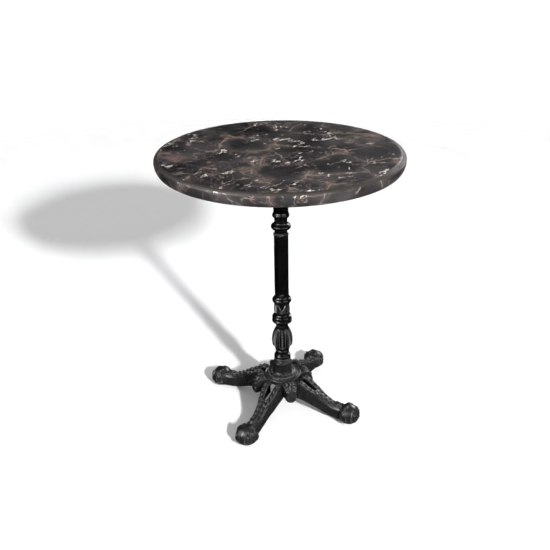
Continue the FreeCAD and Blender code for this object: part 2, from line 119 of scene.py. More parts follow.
def between(low, high, x, edge):
    """1 inside the band from low to high, falling smoothly to 0 over the edge."""
    rise = np.clip((x - low) / edge + 0.5, 0.0, 1.0)
    fall = np.clip((high - x) / edge + 0.5, 0.0, 1.0)
    share = np.minimum(rise, fall)
    return share * share * (3 - 2 * share)


def hump(x, width):
    return np.exp(-(x / width) ** 2)


def surface_of(node):
    """The CAD node's surface, for rays."""
    mesh = frame["nodes"][node].data
    corners = [v.co for v in mesh.vertices]
    return BVHTree.FromPolygons(corners, [tuple(p.vertices) for p in mesh.polygons])


# ---------------------------------------------------------------- node materials
SLEEVE_TOP = 150 * MM                  # the column is satin and pitted below this height, gloss above it
TOP_SHOULDER = (716 * MM, 727 * MM)    # the cream flecks come in between these heights
NECK_RADIUS = 28 * MM                  # the base's socket lies within this radius
# Near-black painted shade for the insides of small pits.
PIT_SHADE = (0.0010, 0.0010, 0.0010)


class Paint:
    """A node material built up step by step; every method returns an output socket."""

    def __init__(self, name):
        self.material = bpy.data.materials.new(name)
        self.material.use_nodes = True
        self.tree = self.material.node_tree
        self.tree.nodes.clear()
        self.shader = self.tree.nodes.new("ShaderNodeBsdfPrincipled")
        output = self.tree.nodes.new("ShaderNodeOutputMaterial")
        self.tree.links.new(self.shader.outputs[0], output.inputs["Surface"])
        self.place = self.tree.nodes.new("ShaderNodeTexCoord").outputs["Object"]

    def node(self, kind, inputs=None, **settings):
        made = self.tree.nodes.new(kind)
        for key, value in settings.items():
            setattr(made, key, value)
        for key, value in (inputs or {}).items():
            self.feed(made.inputs[key], value)
        return made

    def feed(self, socket, value):
        if isinstance(value, bpy.types.NodeSocket):
            self.tree.links.new(value, socket)
        elif isinstance(value, (tuple, list)) and len(value) == 3 and socket.type == "RGBA":
            socket.default_value = (*value, 1.0)
        else:
            socket.default_value = value

    def scaled(self, scale, turn=0.0, shift=(0, 0, 0), place=None):
        mapping = self.node("ShaderNodeMapping", {
            "Vector": place or self.place, "Scale": scale, "Rotation": (0, 0, turn), "Location": shift,
        })
        return mapping.outputs[0]

    def noise(self, scale, detail=4.0, roughness=0.5, distortion=0.0, place=None, colour=False):
        made = self.node("ShaderNodeTexNoise", {
            "Vector": place or self.place, "Scale": scale, "Detail": detail, "Roughness": roughness,
            "Distortion": distortion,
        })
        return made.outputs["Color" if colour else "Fac"]

    def cracks(self, scale, place=None):
        """Distance to the nearest border between irregular cells."""
        made = self.node("ShaderNodeTexVoronoi", {
            "Vector": place or self.place, "Scale": scale, "Randomness": 1.0,
        }, feature="DISTANCE_TO_EDGE")
        return made.outputs["Distance"]

    def math(self, operation, a, b=0.0, c=0.0):
        made = self.node("ShaderNodeMath", {0: a, 1: b, 2: c}, operation=operation)
        return made.outputs[0]

    def fade(self, value, low, high, out_low=0.0, out_high=1.0):
        """Smooth change from out_low to out_high as value goes from low to high."""
        made = self.node("ShaderNodeMapRange", {
            "Value": value, "From Min": low, "From Max": high, "To Min": out_low, "To Max": out_high,
        }, interpolation_type="SMOOTHSTEP")
        return made.outputs["Result"]

    def mix(self, share, a, b, blend="MIX"):
        made = self.node("ShaderNodeMix", data_type="RGBA", blend_type=blend)
        self.feed(made.inputs["Factor"], share)
        self.feed(made.inputs[6], a)
        self.feed(made.inputs[7], b)
        return made.outputs[2]

    def warped(self, amount, scale, detail=3.0, place=None):
        """The place pushed about by a colour noise."""
        place = place or self.place
        push = self.noise(scale, detail, 0.55, place=place, colour=True)
        centred = self.node("ShaderNodeVectorMath", {0: push, 1: (0.5, 0.5, 0.5)}, operation="SUBTRACT")
        scaled = self.node(
            "ShaderNodeVectorMath", {0: centred.outputs[0], "Scale": amount}, operation="SCALE")
        added = self.node("ShaderNodeVectorMath", {0: place, 1: scaled.outputs[0]}, operation="ADD")
        return added.outputs[0]

    def attribute(self, name):
        return self.node("ShaderNodeAttribute", attribute_name=name).outputs["Fac"]

    def ridges(self):
        """Above 0.5 on ridges and edges, below it in hollows."""
        return self.node("ShaderNodeNewGeometry").outputs["Pointiness"]

    def pit_shade_dots(self):
        """Scattered small dots, 1 where the painted shade of a pit goes."""
        return self.fade(self.noise(240.0, 2.0, 0.5), 0.50, 0.58)

    def height(self):
        return self.node("ShaderNodeSeparateXYZ", {0: self.place}).outputs["Z"]

    def bump(self, height, distance, strength=1.0, under=None):
        inputs = {"Height": height, "Distance": distance, "Strength": strength}
        if under is not None:
            inputs["Normal"] = under
        return self.node("ShaderNodeBump", inputs).outputs[0]

    def finish(self, colour, roughness, **more):
        self.feed(self.shader.inputs["Base Color"], colour)
        self.feed(self.shader.inputs["Roughness"], roughness)
        for key, value in more.items():
            self.feed(self.shader.inputs[key.replace("_", " ")], value)
        return self.material


def marble_decor():
    """Charcoal marble print: smoky clouds, broken brown and rose veins, clusters of cream flecks."""
    paint = Paint("marble_decor")

    def shifted(x, y):
        return paint.scaled((1, 1, 1), shift=(x, y, 0))

    def thread(scale, width, detail, place, distortion=0.0):
        """A wandering line where a cloud noise crosses its middle value."""
        level = paint.noise(scale, detail, 0.55, distortion, place=place)
        off = paint.math("ABSOLUTE", paint.math("SUBTRACT", level, 0.5))
        return paint.fade(off, 0.0, width, 1.0, 0.0)

    def both(a, b):
        return paint.math("MULTIPLY", a, b)

    def patch(scale, x, y, low, high, detail=3.0):
        return paint.fade(paint.noise(scale, detail, place=shifted(x, y)), low, high)

    flow = paint.warped(0.05, 10.0, 5.0)
    cloud = paint.noise(8.0, 7.0, 0.68, place=flow)
    ground = paint.mix(paint.fade(cloud, 0.38, 0.62), (0.0135, 0.0118, 0.0130), (0.0350, 0.0312, 0.0330))
    ground = paint.mix(both(patch(7.0, 3, 1, 0.50, 0.62), 0.6), ground, (0.0285, 0.0302, 0.0290))

    # Borders between large cells, pushed about: brown and rose bands with grey smoke beside them.
    pushed = paint.warped(0.12, 9.0, 8.0)
    border = paint.cracks(8.5, pushed)
    smoke = both(paint.fade(border, 0.02, 0.30, 1.0, 0.0), patch(7.0, 8, 3, 0.38, 0.58))
    colour = paint.mix(both(smoke, 0.7), ground, (0.078, 0.070, 0.070))
    hue = paint.noise(17.0, 3.0, place=shifted(5, 5))
    brown = paint.mix(paint.fade(hue, 0.40, 0.60), (0.225, 0.125, 0.122), (0.200, 0.160, 0.118))
    grain = paint.fade(paint.noise(75.0, 8.0, 0.8, place=flow), 0.40, 0.60, 0.05, 1.0)
    tears = paint.fade(paint.noise(45.0, 5.0, 0.7, place=flow), 0.3, 0.7, -0.07, 0.07)
    ragged = paint.math("ADD", border, tears)
    band = both(paint.fade(ragged, 0.02, 0.15, 1.0, 0.0), patch(8.0, 0, 7, 0.47, 0.58))
    colour = paint.mix(both(band, grain), colour, brown)

    # Thin broken tan lines along the same borders, and a finer net of them.
    core = both(paint.fade(border, 0.0, 0.026, 1.0, 0.0), patch(22.0, 1, 9, 0.46, 0.56))
    colour = paint.mix(both(core, 0.85), colour, (0.300, 0.225, 0.190))
    net = both(paint.fade(paint.cracks(21.0, pushed), 0.0, 0.045, 1.0, 0.0), patch(13.0, 4, 2, 0.48, 0.60))
    colour = paint.mix(both(both(net, grain), 0.9), colour, (0.220, 0.160, 0.145))
    hair = both(thread(11.0, 0.009, 7.0, pushed), patch(16.0, 7, 6, 0.48, 0.58))
    colour = paint.mix(both(hair, 0.75), colour, (0.240, 0.205, 0.190))

    # Cream flecks: short curls that lean one way, gather in clusters and stay off most of the rim.
    turned = paint.scaled((1, 1, 1), turn=math.radians(-32), place=paint.warped(0.025, 22.0, 6.0))
    along = paint.scaled((1.0, 2.6, 1.0), place=turned)
    curl = thread(15.0, 0.025, 4.0, along)
    gate = patch(27.0, 9, 4, 0.555, 0.590, 3.0)
    face = paint.fade(paint.height(), *TOP_SHOULDER, 0.12, 1.0)
    cluster = both(patch(7.0, 2, 8, 0.46, 0.54, 3.0), face)
    colour = paint.mix(both(both(curl, gate), cluster), colour, (0.900, 0.850, 0.770))

    # Small pale mottling.
    speck = paint.fade(paint.noise(150.0, 6.0, 0.8, place=flow), 0.56, 0.74)
    colour = paint.mix(both(speck, 0.30), colour, (0.105, 0.094, 0.088))

    smear = paint.noise(18.0, 4.0, 0.6)
    roughness = paint.fade(smear, 0.3, 0.7, 0.34, 0.46)
    peel = paint.bump(paint.noise(420.0, 3.0, 0.6), 0.00004, 0.6)
    return paint.finish(colour, roughness, Normal=peel, Specular_IOR_Level=0.35)


def column_enamel():
    """Gloss black enamel over cast iron, paler grey where the relief stands out, part rub wear and part
    painted highlight; the sleeve is satin, with painted shade in small pits.
    """
    paint = Paint("column_enamel")
    tone = paint.noise(35.0, 4.0, 0.6)
    colour = paint.mix(tone, (0.0010, 0.0010, 0.0011), (0.0032, 0.0032, 0.0034))
    relief = paint.attribute("relief")
    scuffs = paint.fade(paint.noise(330.0, 4.0, 0.7), 0.35, 0.60, 0.25, 1.0)
    # Paler grey on the raised relief: part rub wear, part painted highlight.
    rubbed_and_highlit = paint.math("MULTIPLY", paint.fade(relief, 0.9 * MM, 2.0 * MM), scuffs)
    colour = paint.mix(rubbed_and_highlit, colour, (0.075, 0.075, 0.077))
    sleeve = paint.fade(paint.height(), SLEEVE_TOP - 0.5 * MM, SLEEVE_TOP + 0.5 * MM, 1.0, 0.0)
    # The satin sleeve, with painted shade in small pits.
    sleeve_with_pit_shade = paint.mix(paint.pit_shade_dots(), (0.030, 0.030, 0.031), PIT_SHADE)
    colour = paint.mix(sleeve, colour, sleeve_with_pit_shade)
    runs = paint.noise(1.0, 3.0, 0.5, place=paint.scaled((160, 160, 40)))
    cast = paint.noise(700.0, 4.0, 0.6)
    normal = paint.bump(runs, 0.0004, 0.35)
    normal = paint.bump(cast, 0.00012, 0.35, normal)
    gloss = paint.fade(paint.noise(60.0, 4.0, 0.65), 0.35, 0.7, 0.13, 0.24)
    roughness = paint.math("ADD", gloss, paint.math("MULTIPLY", sleeve, 0.22))
    return paint.finish(colour, roughness, Normal=normal)


def cast_satin(name, low, high, rub_and_highlight):
    """Satin powder coat over sand-cast iron, with painted shade in the hollows and in small pits round the
    socket, and paler ridges that are part rub wear and part painted highlight.
    """
    paint = Paint(name)
    tone = paint.noise(28.0, 5.0, 0.65)
    depth = paint.ridges()
    colour = paint.mix(tone, low, high)
    # Painted shade: the hollows go nearly black where the pointiness is low.
    colour = paint.mix(paint.fade(depth, 0.42, 0.495, 0.9, 0.0), colour, (0.0010, 0.0010, 0.0011))
    # Paler ridges: part rub wear on the cast ornament, part painted highlight.
    scuffs = paint.fade(paint.noise(160.0, 5.0, 0.7), 0.35, 0.60, 0.35, 1.0)
    rubbed_and_highlit = paint.math("MULTIPLY", paint.fade(depth, 0.520, 0.575), scuffs)
    colour = paint.mix(rubbed_and_highlit, colour, rub_and_highlight)
    flat = paint.node("ShaderNodeVectorMath", {0: paint.place, 1: (1, 1, 0)}, operation="MULTIPLY").outputs[0]
    reach = paint.node("ShaderNodeVectorMath", {0: flat}, operation="LENGTH").outputs["Value"]
    inside = paint.fade(reach, NECK_RADIUS - 0.5 * MM, NECK_RADIUS + 0.5 * MM, 1.0, 0.0)
    # Painted shade of small pits round the socket.
    colour = paint.mix(paint.math("MULTIPLY", inside, paint.pit_shade_dots()), colour, PIT_SHADE)
    coarse = paint.noise(240.0, 4.0, 0.65)
    fine = paint.noise(1100.0, 3.0, 0.6)
    normal = paint.bump(coarse, 0.0005, 0.45)
    normal = paint.bump(fine, 0.00015, 0.5, normal)
    roughness = paint.fade(paint.noise(90.0, 4.0, 0.6), 0.3, 0.7, 0.24, 0.38)
    return paint.finish(colour, roughness, Normal=normal)


def pressed_board():
    """Dark resin-bonded fibre board with fine flakes."""
    paint = Paint("pressed_board")
    flakes = paint.noise(320.0, 5.0, 0.75)
    clouds = paint.noise(14.0, 4.0, 0.6)
    colour = paint.mix(paint.fade(flakes, 0.35, 0.7), (0.020, 0.016, 0.013), (0.055, 0.043, 0.034))
    colour = paint.mix(paint.math("MULTIPLY", clouds, 0.4), colour, (0.030, 0.024, 0.020))
    normal = paint.bump(flakes, 0.0003, 0.5)
    return paint.finish(colour, paint.fade(flakes, 0.3, 0.7, 0.55, 0.75), Normal=normal)


def zinc_plate():
    """Bright zinc on steel, faintly mottled and drawn."""
    paint = Paint("zinc_plate")
    mottle = paint.noise(220.0, 4.0, 0.6)
    tint = paint.mix(paint.fade(mottle, 0.35, 0.7), (0.46, 0.47, 0.50), (0.66, 0.66, 0.64))
    drawn = paint.noise(1.0, 3.0, 0.6, place=paint.scaled((2200, 2200, 300)))
    normal = paint.bump(drawn, 0.00004, 0.5)
    roughness = paint.fade(mottle, 0.3, 0.7, 0.24, 0.42)
    return paint.finish(tint, roughness, Metallic=1.0, Normal=normal)


def glide_nylon():
    """Moulded black nylon, finely spark-textured."""
    paint = Paint("glide_nylon")
    texture = paint.noise(1500.0, 2.0, 0.5)
    colour = paint.mix(paint.noise(60.0, 3.0), (0.018, 0.018, 0.018), (0.032, 0.031, 0.030))
    return paint.finish(colour, 0.55, Normal=paint.bump(texture, 0.0001, 0.6))


# ---------------------------------------------------------------- the round top
def marble_top(material):
    """The decorated shell: flat face, soft shoulder, a side that tucks in to the lip, and a hidden back."""
    low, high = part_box("decor_skin")
    radius, top, lip = high.x, high.z, low.z
    shoulder_depth = 10 * MM
    shoulder_width = 17 * MM
    tuck = 12 * MM
    thick = 3 * MM
    widest = top - shoulder_depth
    profile = [(0, top), (0.35 * radius, top), (0.7 * radius, top), (radius - shoulder_width - 3 * MM, top)]
    profile += arc_points((radius - shoulder_width, widest), shoulder_width, shoulder_depth, 90, 0, 24)
    profile += arc_points((radius - tuck, widest), tuck, widest - lip, 0, -88, 20)[1:]
    profile += [(radius - 16 * MM, lip), (radius - 19 * MM, lip), (radius - 19 * MM, lip + 2.5 * MM)]
    profile += [(radius - 22 * MM, lip + 4 * MM), (radius - 30 * MM, top - thick), (0, top - thick)]
    piece = turned_piece("marble_top", profile[::-1], 320)
    return finish_piece(piece, material, "marble_decor", "decor_skin")


# ---------------------------------------------------------------- the two column castings
COLUMN_SEGMENTS = 300
END_GAP = 0.02 * MM        # keeps the ends of neighbouring castings from lying in one plane
SHAFT_R = 18.6 * MM
FLUTES = 6
FLUTE_R = 12 * MM
FLUTE_HALF_ANGLE = math.radians(22)
FLUTE_LOW, FLUTE_HIGH = 352 * MM, 500 * MM
BALUSTER = (184 * MM, 240 * MM)
CALYX = (251 * MM, 262 * MM)
LEAVES = (291 * MM, 317 * MM)
SWELLING_Z = 516 * MM      # the swelling above the flutes
PITTED_NECK_Z = 553 * MM


def outer_radii(node, heights, rays=24):
    """The largest radius of a CAD node at each height, found by rays shot at the table's axis."""
    tree = surface_of(node)
    radii = []
    for z in heights:
        best = 0.0
        for j in range(rays):
            angle = 2 * math.pi * j / rays
            outward = Vector((math.cos(angle), math.sin(angle), 0))
            hit = tree.ray_cast(outward * 0.1 + Vector((0, 0, z)), -outward)[0]
            if hit is not None:
                best = max(best, math.hypot(hit.x, hit.y))
        radii.append(best)
    return np.array(radii)


def sector(angle, count, first=FRONT_ANGLE):
    """Angle from the nearest of count equal directions."""
    step = 2 * math.pi / count
    return (angle - first + step / 2) % step - step / 2


def flute_radius(angle, z):
    """Where the round flute cutters leave the surface."""
    reach = math.sqrt(FLUTE_R ** 2 - (SHAFT_R * math.sin(FLUTE_HALF_ANGLE)) ** 2)
    centre = SHAFT_R * math.cos(FLUTE_HALF_ANGLE) + reach
    beyond = np.maximum(np.maximum(FLUTE_LOW - z, z - FLUTE_HIGH), 0.0)
    from_flute = sector(angle, FLUTES)
    inside = FLUTE_R ** 2 - beyond ** 2 - (centre * np.sin(from_flute)) ** 2
    near = centre * np.cos(from_flute) - np.sqrt(np.maximum(inside, 0.0))
    return np.where(inside > 0, near, 1.0)


def petal_panels(angle, z, radius):
    """Four panels on the baluster: a raised U border round a row of beads."""
    border_half_width = 7.8 * MM
    border_bend_z = 195 * MM
    bead_radius = 3.1 * MM
    bead_pitch = 7 * MM
    first_bead_z = 190 * MM
    across = sector(angle, 4) * radius
    below = np.minimum(z - border_bend_z, 0.0)
    border = np.hypot(across, below) - border_half_width
    height = 2.0 * MM * hump(border, 1.1 * MM)
    along = (z - first_bead_z + bead_pitch / 2) % bead_pitch - bead_pitch / 2
    height += 2.8 * MM * np.clip(1 - (across ** 2 + along ** 2) / bead_radius ** 2, 0, 1)
    return height * between(*BALUSTER, z, 5 * MM) * (np.abs(across) < 11 * MM)


def feathers(angle, z, radius):
    """Veined leaves between the panels: a midrib and slanting barbs."""
    barb_pitch = 5 * MM
    across = sector(angle, 4, FRONT_ANGLE + math.pi / 4) * radius
    half_width = 8 * MM * between(188 * MM, 238 * MM, z, 16 * MM)
    slant = (z - 0.9 * np.abs(across)) % barb_pitch - barb_pitch / 2
    barbs = 1.9 * MM * hump(slant, 1.1 * MM) * between(-1, 0, np.abs(across) - half_width, 2 * MM)
    midrib = 2.2 * MM * hump(across, 1.3 * MM)
    return (barbs + midrib) * between(*BALUSTER, z, 6 * MM)


def calyx(angle, z):
    """Short upright slots under the joint ring."""
    return -2.6 * MM * hump(sector(angle, 24), 0.08) * between(*CALYX, z, 3 * MM)


def pits(angle, z, places, depth, width):
    """Small dents at (direction from the front in degrees, height)."""
    dent = 0.0
    for turn, height in places:
        across = sector(angle, 1, FRONT_ANGLE + math.radians(turn)) * 20 * MM
        dent = dent - depth * hump(np.hypot(across, z - height), width)
    return dent


def lower_relief(angle, z, radius):
    """The carved baluster, the slotted calyx and the pitted sleeve."""
    raised = petal_panels(angle, z, radius) + feathers(angle, z, radius) + calyx(angle, z)
    sleeve_pits = [(turn * 47 % 360, (139 + turn * 7 % 9) * MM) for turn in range(1, 22)]
    return radius + raised + pits(angle, z, sleeve_pits, 2.2 * MM, 2.0 * MM)


def acanthus(angle, z, radius):
    """Four leaves on the short cylinder: a stem that opens into a V, with slanting veins between."""
    opening_z = 299 * MM
    vein_pitch = 4.6 * MM
    across = sector(angle, 4) * radius
    spread = np.maximum(z - opening_z, 0.0) * 0.55
    stem = 2.4 * MM * hump(np.abs(across) - spread, 1.3 * MM)
    slant = (z + 0.8 * np.abs(across)) % vein_pitch - vein_pitch / 2
    veins = 1.7 * MM * hump(slant, 1.1 * MM) * (np.abs(across) > spread + 2.4 * MM)
    return (stem + veins) * between(*LEAVES, z, 3 * MM)


def leaf_specks(angle, z):
    """A row of small leaves on the swelling above the flutes."""
    across = sector(angle, 12) / 0.10
    return 1.6 * MM * hump(np.hypot(across, (z - SWELLING_Z) / (3.2 * MM)), 1.0)


def upper_relief(angle, z, radius):
    """The flutes, the leaves below and above them, and the pitted neck."""
    fluted = np.minimum(radius, flute_radius(angle, z))
    neck_pits = [(turn * 30.0 + 10, PITTED_NECK_Z) for turn in range(12)]
    raised = acanthus(angle, z, radius) + leaf_specks(angle, z)
    return fluted + raised + pits(angle, z, neck_pits, 0.9 * MM, 1.3 * MM)


def column_skin(name, node, spans, bore, relief, material):
    """A finely divided copy of a turned casting with its relief raised.
    spans is a list of (end height, step); bore is a list of (radius, height) down the inside."""
    low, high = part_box(node)
    heights = [low.z + END_GAP]
    for end, step in spans:
        while heights[-1] + step < end:
            heights.append(heights[-1] + step)
    heights.append(high.z - END_GAP)
    angle = np.linspace(0.0, 2 * math.pi, COLUMN_SEGMENTS, endpoint=False)
    zz, aa = np.meshgrid(np.array(heights), angle, indexing="ij")
    plain = np.repeat(outer_radii(node, heights)[:, None], COLUMN_SEGMENTS, axis=1)
    rr = relief(aa, zz, plain)
    rings = [np.stack([rr * np.cos(aa), rr * np.sin(aa), zz], axis=-1).reshape(-1, 3)]
    for r, height in bore:
        rings.append(np.stack([r * np.cos(angle), r * np.sin(angle), np.full_like(angle, height)], axis=-1))
    faces = grid_faces(len(heights) + len(bore), COLUMN_SEGMENTS)
    last = (len(heights) + len(bore) - 1) * COLUMN_SEGMENTS
    for j in range(COLUMN_SEGMENTS):
        k = (j + 1) % COLUMN_SEGMENTS
        faces.append((last + j, last + k, k, j))
    piece = new_piece(name, np.concatenate(rings), faces)
    raised = np.zeros(len(piece.data.vertices))
    raised[:rr.size] = (rr - plain).ravel()
    piece.data.attributes.new("relief", "FLOAT", "POINT").data.foreach_set("value", raised)
    return finish_piece(piece, material, "column_gloss", node)


def column(material):
    """Both castings: coarse steps along the plain flutes, fine ones wherever there is relief."""
    bore = 9 * MM
    spigot_room = 14.2 * MM
    fine, coarse = 0.5 * MM, 1.5 * MM
    low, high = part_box("column_lower")
    inside = [(bore, high.z - END_GAP), (bore, low.z + END_GAP)]
    column_skin("column_foot", "column_lower", [(high.z, fine)], inside, lower_relief, material)
    low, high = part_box("column_upper")
    room_top = low.z + 14 * MM
    inside = [(bore, high.z - END_GAP), (bore, room_top)]
    inside += [(spigot_room, room_top), (spigot_room, low.z + END_GAP)]
    spans = [(345 * MM, fine), (495 * MM, coarse), (high.z, fine)]
    column_skin("column_shaft", "column_upper", spans, inside, upper_relief, material)


# ---------------------------------------------------------------- the cast base and its ornament
VOXEL = 0.9 * MM


class Ornament:
    """Closed lumps of mesh that are melted into the base casting."""

    def __init__(self, node):
        self.vertices = []
        self.faces = []
        self.tree = surface_of(node)

    def add(self, vertices, faces):
        first = len(self.vertices)
        self.vertices += vertices
        self.faces += [tuple(first + i for i in face) for face in faces]

    def bead(self, centre, along, up, half_sizes, segments=16, rings=8):
        """An ellipsoid; half_sizes run along, across and up."""
        side = up.cross(along).normalized()
        vertices = [centre - up * half_sizes[2]]
        for i in range(1, rings):
            level = -math.pi / 2 + math.pi * i / rings
            for j in range(segments):
                turn = 2 * math.pi * j / segments
                vertices.append(
                    centre + along * (half_sizes[0] * math.cos(level) * math.cos(turn))
                    + side * (half_sizes[1] * math.cos(level) * math.sin(turn))
                    + up * (half_sizes[2] * math.sin(level)))
        vertices.append(centre + up * half_sizes[2])
        faces = grid_faces(rings - 1, segments, first=1)
        top = 1 + (rings - 2) * segments
        for j in range(segments):
            k = (j + 1) % segments
            faces.append((0, 1 + k, 1 + j))
            faces.append((len(vertices) - 1, top + j, top + k))
        self.add(vertices, faces)

    def cord(self, points, radius, segments=10):
        """A round cord through a list of points, closed at both ends."""
        vertices = []
        for i, point in enumerate(points):
            ahead = points[min(i + 1, len(points) - 1)] - points[max(i - 1, 0)]
            ahead = ahead.normalized()
            side = ahead.cross(Vector((0, 0, 1)))
            side = side.normalized() if side.length > 0.2 else ahead.cross(Vector((1, 0, 0))).normalized()
            up = side.cross(ahead)
            for j in range(segments):
                turn = 2 * math.pi * j / segments
                vertices.append(point + side * (radius * math.cos(turn)) + up * (radius * math.sin(turn)))
        faces = grid_faces(len(points), segments)
        faces.append(tuple(range(segments))[::-1])
        faces.append(tuple(range(len(vertices) - segments, len(vertices))))
        self.add(vertices, faces)

    def on_top(self, angle, along, across, sink=0.0):
        """The point of the base straight below a place on a leg, moved down by sink."""
        c, s = math.cos(angle), math.sin(angle)
        start = Vector((along * c - across * s, along * s + across * c, 0.13))
        hit = self.tree.ray_cast(start, Vector((0, 0, -1)))[0]
        return hit - Vector((0, 0, sink))


def interpolated(rows, x):
    """The rows' value at x, in metres."""
    return float(np.interp(x, [r[0] for r in rows], [r[1] for r in rows])) * MM


# Rows of (distance from the table's axis, value) in millimetres, along a leg.
BAR_OFFSET = [(36, 16.8), (60, 16.8), (85, 15), (105, 11.5), (120, 7)]
BAR_HALF_WIDTH = [(36, 8.2), (60, 8.2), (85, 8), (120, 7.5)]
ARM_HALF_WIDTH = [(104, 18), (122, 16.5), (147, 15), (190, 15)]
EDGE_SHARE = 0.72          # where an edge cord runs, as a share of the half width
ROW_PITCH = 13.0           # spacing of the long beads along a leg, in millimetres
HUB_BEADS = 40
HUB_BEAD_RING = 31 * MM    # radius of the ring of small beads round the socket
UP = Vector((0, 0, 1))


def directions(angle):
    """Level unit vectors: out along the angle, and across it to the left."""
    c, s = math.cos(angle), math.sin(angle)
    return Vector((c, s, 0)), Vector((-s, c, 0))


def leg_line(ornament, angle, stations, offset, sink):
    """Points on a leg's top at some distances from the axis, each moved sideways by offset."""
    return [ornament.on_top(angle, x * MM, offset(x), sink) for x in stations]


def bead_row(ornament, angle, count, start, offset, fall, lean, half_sizes):
    """Long beads along a leg that falls by fall per unit of length; each leans across the row."""
    leg, across = directions(angle)
    slope = (leg - UP * fall).normalized()
    lift = slope.cross(across).normalized()
    for i in range(count):
        x = start + ROW_PITCH * i
        place = ornament.on_top(angle, x * MM, offset(x), -0.4 * MM)
        ornament.bead(place, (slope + across * lean).normalized(), lift, half_sizes)


def ornament_bars(ornament, angle):
    """Each bar of the fork: a row of long beads between two cords that meet in an arch at its root."""
    for side in (-1, 1):
        def middle(x):
            return side * interpolated(BAR_OFFSET, x)

        def edge(x, which):
            return middle(x) + which * EDGE_SHARE * interpolated(BAR_HALF_WIDTH, x)

        arch = ((56, -3.5), (53.5, 0), (56, 3.5))
        root = [ornament.on_top(angle, x * MM, middle(x) + y * MM) for x, y in arch]
        low_line = leg_line(ornament, angle, range(60, 109, 3), lambda x: edge(x, -1), 0)
        high_line = leg_line(ornament, angle, range(60, 109, 3), lambda x: edge(x, 1), 0)
        ornament.cord(low_line[::-1] + root + high_line, 1.7 * MM)
        bead_row(ornament, angle, 4, 66, middle, 0.55, 0.25 * side, (5.6 * MM, 3.7 * MM, 4.4 * MM))


def ornament_arm(ornament, angle):
    """The single arm: two rows of slanting beads between edge cords, then two pairs of round knobs."""
    leg = directions(angle)[0]
    for side in (-1, 1):
        def edge(x):
            return side * EDGE_SHARE * interpolated(ARM_HALF_WIDTH, x)

        def row(x):
            return side * 5.2 * MM

        ornament.cord(leg_line(ornament, angle, range(110, 163, 4), edge, 0.1 * MM), 1.7 * MM)
        bead_row(ornament, angle, 4, 117, row, 0.5, 0.4 * side, (5.6 * MM, 2.9 * MM, 4.2 * MM))
        for x, spread, size in ((165, 6.5, 4.4), (178, 7.5, 5.0)):
            place = ornament.on_top(angle, x * MM, side * spread * MM, 0.8 * MM)
            ornament.bead(place, leg, UP, (size * MM, size * MM, size * MM))


def ornament_foot(ornament, angle):
    """A foot: on four faces a pointed arch over a bud and a crescent, and two bumps on its crown."""
    foot = directions(angle)[0] * FOOT_RADIUS
    for turn in (-100, -35, 35, 100):
        out, across = directions(angle + math.radians(turn))

        def on_face(x, z, lift=0.3):
            start = foot + out * 0.06 + across * (x * MM) + Vector((0, 0, z * MM))
            hit, normal = ornament.tree.ray_cast(start, -out)[:2]
            return hit + normal * (lift * MM), normal

        half_arch = [(-8, 26), (-7.2, 32), (-4.8, 38), (-2.2, 42.5)]
        outline = half_arch + [(0, 45.5)] + [(-x, z) for x, z in half_arch[::-1]]
        ornament.cord([on_face(x, z)[0] for x, z in outline], 2.0 * MM)
        bud, normal = on_face(0, 32)
        ornament.bead(bud, UP, normal, (4.6 * MM, 2.8 * MM, 2.6 * MM))
        crescent = []
        for step in range(7):
            bend = math.radians(200 + 23.0 * step)
            crescent.append(on_face(10.5 * math.cos(bend), 25 + 10 * math.sin(bend))[0])
        ornament.cord(crescent, 2.0 * MM)
    for side in (-1, 1):
        crown = ornament.on_top(angle, FOOT_RADIUS - 4 * MM, side * 9.5 * MM, 1.6 * MM)
        ornament.bead(crown, Vector((1, 0, 0)), UP, (6.5 * MM, 6.5 * MM, 4.6 * MM))


def ornament_lobe(ornament, angle):
    """A lobe between two legs: a rounded nose, a middle rib, a bead row on each side and a lower rim."""
    out, across = directions(angle)
    nose = out * 76.5 * MM + UP * 58.5 * MM
    ornament.bead(nose, out, UP, (9.5 * MM, 13.0 * MM, 10.5 * MM))
    rib = [ornament.on_top(angle, x * MM, 0, 0) for x in range(54, 85, 3)]
    ornament.cord(rib, 2.8 * MM)
    for side in (-1, 1):
        for x in (59, 66, 73, 79):
            place = ornament.on_top(angle, x * MM, side * 9.5 * MM, 0.3 * MM)
            ornament.bead(place, out, UP, (3.2 * MM, 2.8 * MM, 3.0 * MM))
    rim = []
    for step in range(13):
        bend = math.radians(180 + 15 * step)
        start = out * 0.13 + across * (11 * MM * math.cos(bend)) + UP * (70 * MM + 12 * MM * math.sin(bend))
        rim.append(ornament.tree.ray_cast(start, -out)[0])
    ornament.cord(rim, 2.0 * MM)


def ornament_hub(ornament):
    """A ring of small beads in the groove round the socket."""
    for i in range(HUB_BEADS):
        angle = 2 * math.pi * i / HUB_BEADS
        tangent = directions(angle)[1]
        place = ornament.on_top(angle, HUB_BEAD_RING, 0)
        ornament.bead(place, tangent, UP, (2.0 * MM, 1.7 * MM, 2.0 * MM))


def clear_glide_holes(mesh):
    """Keeps the melted surface off the glide studs."""
    hole_radius = 4.5 * MM
    hole_top = 44 * MM
    for angle in LEG_ANGLES:
        centre = directions(angle)[0] * FOOT_RADIUS
        for vertex in mesh.vertices:
            away = Vector((vertex.co.x - centre.x, vertex.co.y - centre.y, 0))
            if vertex.co.z < hole_top and 0 < away.length < hole_radius:
                away = away.normalized() * hole_radius
                vertex.co.x = centre.x + away.x
                vertex.co.y = centre.y + away.y


